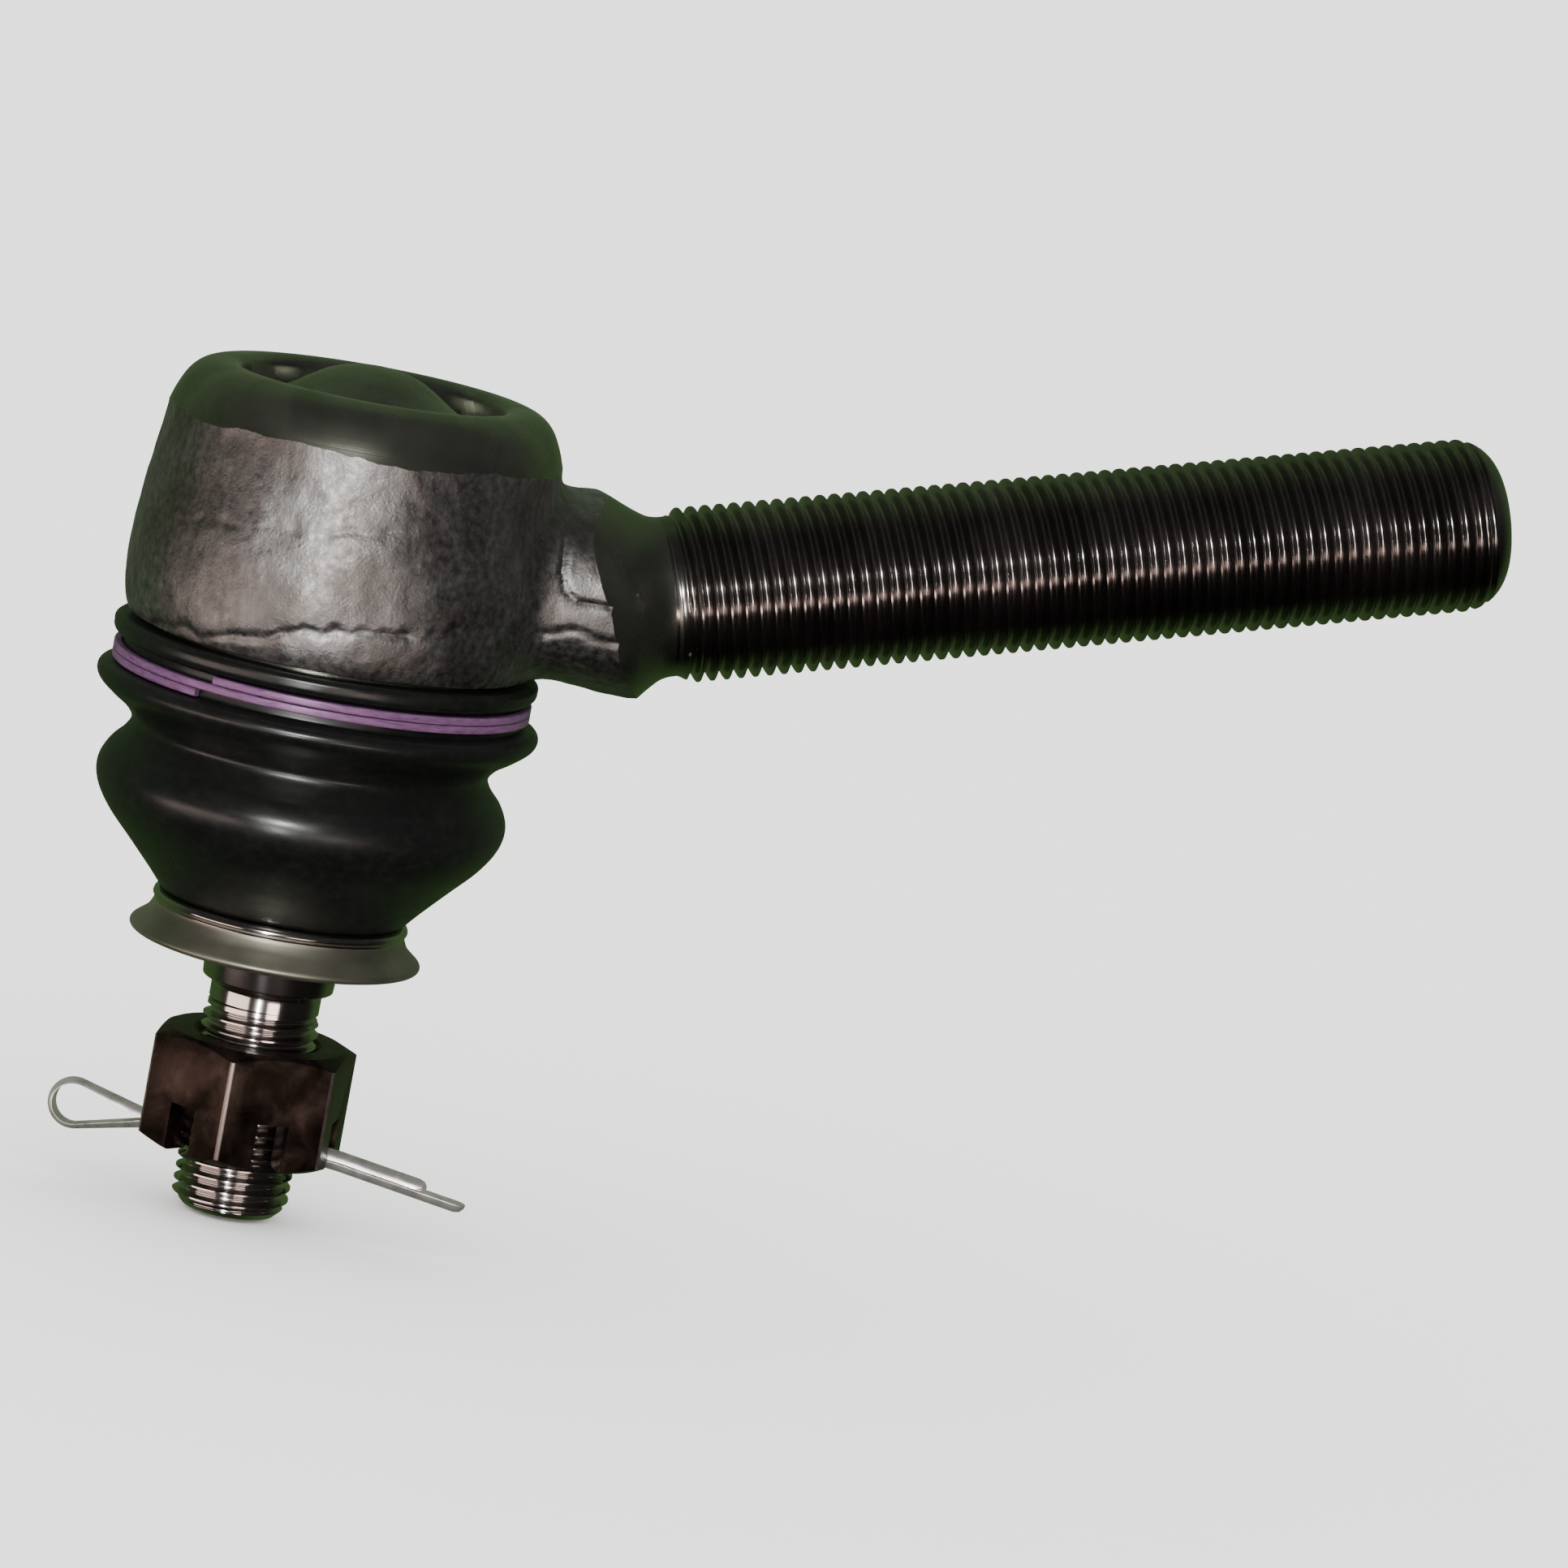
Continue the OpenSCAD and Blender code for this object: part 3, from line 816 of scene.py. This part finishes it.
def shank():
    """Relief and M18x1.5 thread with its rounded tip, as one turned length."""
    bar = Turned((BEND_X, 0, BEND_Z), (math.cos(SHANK_RISE), 0, math.sin(SHANK_RISE)), (0, 1, 0))
    root = THREAD_START - 0.6
    relief_r = SHANK_R - SHANK_RELIEF
    bar.smooth([(0, root - 1.6), (relief_r - 0.2, root - 1.6), (relief_r, root - 0.3), (relief_r, root)])
    bar.thread(root, SHANK_END, SHANK_PITCH, SHANK_R, shank_outline)
    bar.smooth([(SHANK_R - SHANK_TIP_R, SHANK_END), (2, SHANK_END), (0, SHANK_END)])
    return bar.mesh("shank")


# ---------------------------------------------------------------- cover, boot and rings

def cover():
    """Pressed cover: flat rim under the lip, a groove around the dome and the dome itself."""
    plate = Turned()
    dome_top = 17.8
    rim_r, rim_top, rim_foot = 15.3, 13.35, 11.45
    outside = smooth_line([(0, dome_top), (1.6, dome_top - 0.07), (3.2, dome_top - 0.38),
                           (5.0, dome_top - 1.05), (6.8, dome_top - 2.15), (8.6, 14.5), (10.2, 13.65),
                           (11.6, 13.36)], 6)
    outline = outside + [(13.0, rim_top), (rim_r, rim_top), (rim_r, rim_foot), (10.6, rim_foot)]
    inside = smooth_line([(9.2, 12.0), (7.6, 13.0), (5.6, 14.3), (3.2, 15.45), (0, 15.9)], 4)
    plate.smooth(from_ball(outline + inside))
    return plate.mesh("cover")


def boot_mesh():
    """Bellows boot: upper lip, clamp groove, bead, valley, the large fold and the foot."""
    skin = Turned()
    groove_r = 20.5                             # where the clamp wire lies
    collar = [(18.8, -11.05), (21.2, -11.05), (21.75, -11.5), (21.7, -12.5), (21.3, -12.95),
              (groove_r, -13.05), (groove_r, -15.75), (21.3, -15.85)]
    outside = smooth_line([(21.3, -15.85), (22.3, -16.2), (22.65, -16.9), (22.3, -17.8), (21.0, -18.9),
                           (19.3, -20.1), (18.35, -21.5), (18.9, -22.9), (20.2, -24.4), (21.0, -26.3),
                           (20.7, -28.4), (19.2, -30.8), (16.6, -33.6), (14.2, -36.2), (13.0, -37.6)], 5)
    wall = 1.6
    inner = [(p[0] - wall, p[1] + 0.2) for p in reversed(outside) if -36.2 < p[1] < -18]
    outline = eased(collar, 0.25, 3) + outside[1:]
    outline += [(12.6, -38.05), (8.3, -38.05), (8.3, -36.9), (11.0, -36.7)]
    outline += inner + [(20.0, -17.3), (18.8, -17.05)]
    skin.smooth(from_ball(outline + [outline[0]]))
    return skin.mesh("boot")


def clamp_wire():
    """Two turns of flat wire with rounded edges, whose ends lie one turn apart at the split."""
    inner_r, thick, high, turns, middle_z = 20.6, 0.8, 0.85, 2, -14.4
    split, sweep = math.radians(231), math.radians(360 * turns - 5)
    edge = 0.16
    section = eased([(0.4 * thick, 0), (0, 0), (0, high - 0.05), (thick, high - 0.05), (thick, 0),
                     (0.6 * thick, 0)], edge, 3)
    steps = 180 * turns
    rings = []
    for i in range(steps + 1):
        angle = split + sweep * i / steps
        base = BALL_Z + middle_z + high * 0.5 - high * turns * i / steps
        rings.append([((inner_r + r) * math.cos(angle), (inner_r + r) * math.sin(angle), base + z)
                      for r, z in section])
    return swept("clamp_wire", rings)


def foot_ring():
    """Flared steel ring at the boot's foot, with a bright lip along its top."""
    ring = Turned()
    bore_r, top, foot, lip_foot = 7.45, -38.2, -43.4, -39.4
    outline = [(bore_r, top), (12.45, top)]
    outline += smooth_line([(12.6, -38.22), (13.0, -38.45), (13.15, -38.9), (12.95, -39.35),
                            (13.05, -39.9), (13.55, -40.8), (14.35, -41.5), (14.88, -41.95),
                            (14.98, -42.35), (14.6, -42.7), (13.4, -43.0), (11.8, -43.35),
                            (10.8, foot)], 5)
    outline = from_ball(outline + [(bore_r + 0.25, foot), (bore_r, foot + 0.25)])
    ring.smooth(outline + [outline[0]])
    mesh = ring.mesh("foot_ring")
    for polygon in mesh.polygons:
        polygon.material_index = LIP if polygon.center.z > (BALL_Z + lip_foot) * MM else 0
    return mesh


# ---------------------------------------------------------------- stud, nut and cotter pin

TAPER_R, TAPER_LENGTH = 7.9, 18.5
TAPER_END_R = TAPER_R - TAPER_LENGTH / 16       # 1:8 across the diameter
STUD_R, STUD_TIP = 6.0, -42.3
STUD_CHAMFER = 1.2
RELIEF_DEPTH = 0.3
RELIEF_R = STUD_R - RELIEF_DEPTH
NUT_BOTTOM, NUT_HEIGHT, NUT_AF = -36.1, 12.0, 19.0
PIN_Z = NUT_BOTTOM + 1.05
PIN_ANGLE = math.radians(-20)


def stud_outline(distance):
    """Largest radius of the stud's lower end at a distance below the origin."""
    groove_end = TAPER_LENGTH + 3.2
    tip = -STUD_TIP
    if distance < groove_end:
        return RELIEF_R
    if distance < groove_end + RELIEF_DEPTH:
        return RELIEF_R + (distance - groove_end)
    return min(STUD_R, STUD_R - STUD_CHAMFER + (tip - distance))


def stud():
    """Ball, neck, taper, relief groove and M12x1.25 thread, drilled for the cotter pin."""
    bar = Turned(along=(0, 0, -1))
    ball_r, flat, neck_r, hole_r = 12.5, 10.8, 6.9, 1.5
    start, end = math.acos(flat / ball_r), math.radians(180) - math.asin(neck_r / ball_r)
    ball = [(ball_r * math.sin(a), -BALL_Z - ball_r * math.cos(a)) for a in np.linspace(start, end, 48)]
    shaft = eased([ball[-1], (neck_r, -15.5), (neck_r, -9.0), (TAPER_R, -2.0), (TAPER_R, 0)], 0.8)
    thread_start = TAPER_LENGTH + 2.0
    taper = eased([(TAPER_R, 0), (TAPER_END_R, TAPER_LENGTH - 0.15), (TAPER_END_R - 0.3, TAPER_LENGTH),
                   (RELIEF_R, TAPER_LENGTH + 0.4), (RELIEF_R, thread_start)], 0.25)
    bar.smooth([(0, -BALL_Z - flat)] + ball + shaft[1:] + fine(taper[1:], 0.4))
    bar.thread(thread_start, -STUD_TIP, STUD_PITCH, STUD_R, stud_outline)
    tip_r = STUD_R - STUD_CHAMFER
    bar.smooth([(tip_r, -STUD_TIP), (tip_r - 0.6, -STUD_TIP), (0, -STUD_TIP)])
    obj = in_scene("stud", bar.mesh("stud"))
    way = Vector((math.cos(PIN_ANGLE), math.sin(PIN_ANGLE), 0)) * 2 * STUD_R
    middle = Vector((0, 0, PIN_Z))
    cut(obj, round_bar(middle - way, middle + way, hole_r))
    mesh = obj.data
    bpy.data.objects.remove(obj)
    return mesh


def nut():
    """Slotted hexagon nut, chamfered at both ends, with every edge slightly broken."""
    corner_r = NUT_AF / math.sqrt(3)
    turn = PIN_ANGLE + math.radians(30)
    top = NUT_BOTTOM + NUT_HEIGHT
    rubbed_r, sweeps = 0.5, np.radians(np.linspace(-30, 30, 6))
    hexagon = []
    for angle in (turn + k * math.pi / 3 for k in range(6)):
        out = corner_r - rubbed_r / math.cos(math.radians(30))
        centre = out * np.array((math.cos(angle), math.sin(angle)))
        hexagon += [tuple(centre + rubbed_r * np.array((math.cos(angle + s), math.sin(angle + s))))
                    for s in sweeps]
    bar = prism(hexagon, NUT_BOTTOM, top)
    narrow = (1.0 * MM) * NUT_HEIGHT * MM       # only the strips of the round corners are smaller
    for polygon in bar.polygons:
        polygon.material_index = RUBBED if polygon.area < narrow else 0
    obj = in_scene("nut", bar)
    blank = Turned()
    chamfer = 1.1
    blank.smooth([(0, NUT_BOTTOM), (NUT_AF / 2 - 0.3, NUT_BOTTOM), (corner_r + 0.3, NUT_BOTTOM + chamfer),
                  (corner_r + 0.3, top - chamfer), (NUT_AF / 2 - 0.5, top), (0, top)])
    cut(obj, blank.mesh("blank"), "INTERSECT")
    bore = Turned()
    bore_r, mouth_r, past, deep = STUD_R + 0.05, STUD_R + 1.65, 1, 0.6
    bore.smooth([(0, NUT_BOTTOM - past), (mouth_r, NUT_BOTTOM - past), (bore_r, NUT_BOTTOM + deep),
                 (bore_r, top - deep), (mouth_r, top + past), (0, top + past)])
    cut(obj, bore.mesh("bore"))
    slot_w, slot_depth = 3.3, 5.0
    star = []
    for k in range(6):
        angle = PIN_ANGLE + k * math.pi / 3
        way = np.array((math.cos(angle), math.sin(angle)))
        side = np.array((-way[1], way[0])) * slot_w / 2
        notch = slot_w * np.array((math.cos(angle + math.pi / 6), math.sin(angle + math.pi / 6)))
        star += [tuple(way * NUT_AF - side), tuple(way * NUT_AF + side), tuple(notch)]
    cut(obj, prism(star, NUT_BOTTOM - past, NUT_BOTTOM + slot_depth))
    bevel = obj.modifiers.new("edges", "BEVEL")
    bevel.width = 0.12 * MM
    bevel.segments = 2
    bevel.limit_method = "ANGLE"
    bevel.angle_limit = math.radians(24)
    mesh = apply_modifiers(obj)
    bpy.data.objects.remove(obj)
    return mesh


def cotter_line():
    """The flat of the cotter pin's wire as (along, up, heading, width, thickness): the long leg
    from its tip inwards, the eye, and the short leg out to its tip."""
    gap, eye_r, throat, reach, droop = 0.06, 2.1, NUT_AF / 2 + 0.5, 7.7, math.radians(7)
    long_leg, short_leg = 24.2, 19.9
    lean = math.asin((eye_r - gap) / reach)
    eye_thickness, throat_thickness = 0.62, 0.9

    def leg(x, side, heading, width=1.0):
        """A point of a leg, which droops once it is past the nut."""
        fallen = max(0.0, x - throat) * math.tan(droop)
        bend = droop * min(1.0, max(0.0, (x - throat + 0.5) / 1.0))
        return (x, side * gap - fallen, heading - bend, width, width)

    long_tip = [(long_leg, 0.35), (long_leg - 0.33, 0.8), (long_leg - 0.9, 1.0)]
    line = [leg(x, -1, math.pi, width) for x, width in long_tip]
    line += [leg(x, -1, math.pi) for x in np.linspace(long_leg - 3, throat + 0.5, 6)]
    line += [leg(x, -1, math.pi) for x in np.linspace(throat - 0.5, 1 - throat, 6)]
    line.append((-throat, -gap, math.pi + lean / 2, 1.0, throat_thickness))
    for turn in np.linspace(-math.pi / 2 + lean, -3 * math.pi / 2 - lean, 33):
        line.append((-throat - reach + eye_r * math.cos(turn), eye_r * math.sin(turn), turn - math.pi / 2,
                     1.0, eye_thickness))
    line.append((-throat, gap, -lean / 2, 1.0, throat_thickness))
    line += [leg(x, 1, 0) for x in np.linspace(1 - throat, throat - 0.5, 6)]
    line += [leg(x, 1, 0) for x in np.linspace(throat + 0.5, short_leg - 0.9, 6)]
    return line + [leg(short_leg - 0.3, 1, 0, 0.85), leg(short_leg, 1, 0, 0.5)]


def cotter():
    """Half-round wire bent double: the eye on the left, the long leg below the short one."""
    leg_r, edge = 1.0, 0.12
    along = np.array((math.cos(PIN_ANGLE), math.sin(PIN_ANGLE), 0))
    across = np.array((math.sin(PIN_ANGLE), -math.cos(PIN_ANGLE), 0))
    section = [(leg_r, 0.0), (leg_r, edge)]
    section += [(leg_r * math.cos(a), max(edge, leg_r * math.sin(a)))
                for a in np.linspace(0.15, math.pi - 0.15, 13)]
    section += [(-leg_r, edge), (-leg_r, 0.0)]
    rings = []
    for x, z, heading, width, thickness in cotter_line():
        centre = x * along + np.array((0, 0, PIN_Z + z))
        bulge = np.array((0, 0, math.cos(heading))) - math.sin(heading) * along
        rings.append([centre + width * s * across + thickness * b * bulge for s, b in section])
    return swept("cotter", rings)


# ---------------------------------------------------------------- putting it together

camera()
surroundings()
lights(floor())

# The olive-green tint in crown_steel's base colour is partly painted: it carries a reflection of the green
# backdrop on the turned crown, flare and cover.
crown_steel = turned_steel("crown_steel", (0.27, 0.28, 0.23), 0.26, BALL, UP)
thread_steel = turned_steel("thread_steel", (0.32, 0.29, 0.28), 0.17, BEND, SHANK_WAY, grooves=0.012)
polished_steel = turned_steel("polished_steel", (0.60, 0.56, 0.54), 0.14, BALL, UP, grooves=0.01)
# The olive tint in plated_steel's base colour is partly painted: it carries a reflection of the green backdrop on
# the foot ring.
plated_steel = turned_steel("plated_steel", (0.30, 0.295, 0.235), 0.46, BALL, UP, grooves=0.015)

piece("housing_forging", forging(), "housing", (forged_steel(), crown_steel), "housing",
      sharp=50)
piece("housing_shank", shank(), "housing", thread_steel, "housing", sharp=50)
piece("cover_plate", cover(), "housing", crown_steel, "cover_plug")
bellows = piece("boot_bellows", boot_mesh(), None, rubber(), "boot", sharp=60)
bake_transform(bellows)
piece("clamp_wire", clamp_wire(), "housing", purple_wire(), "boot_clamp_ring")
piece("boot_foot_ring", foot_ring(), "boot_foot", (plated_steel, polished_steel), "boot_seat_ring")
piece("stud", stud(), "stud", polished_steel, "ball_stud", sharp=50)
rubbed_steel = bright_wire("rubbed_steel", (0.26, 0.21, 0.19), 0.42, 900)
piece("nut", nut(), "stud", (nut_steel(), rubbed_steel), "slotted_nut", sharp=40)
pin_steel = bright_wire("pin_steel", (0.86, 0.83, 0.80), 0.30, 500, metallic=0.94)
piece("cotter", cotter(), "stud", pin_steel, "cotter_pin")

HIDDEN_LOOKS = {
    "preload_spring": bright_wire("spring_wire", (0.5, 0.5, 0.5), 0.3, 900),
    "upper_ball_seat": acetal(),
    "lower_ball_seat": acetal(),
}
for node_name, look in HIDDEN_LOOKS.items():
    mesh = frame["nodes"][node_name].data
    if not mesh.materials:
        mesh.materials.append(look)
    for index in range(len(mesh.materials)):
        mesh.materials[index] = look
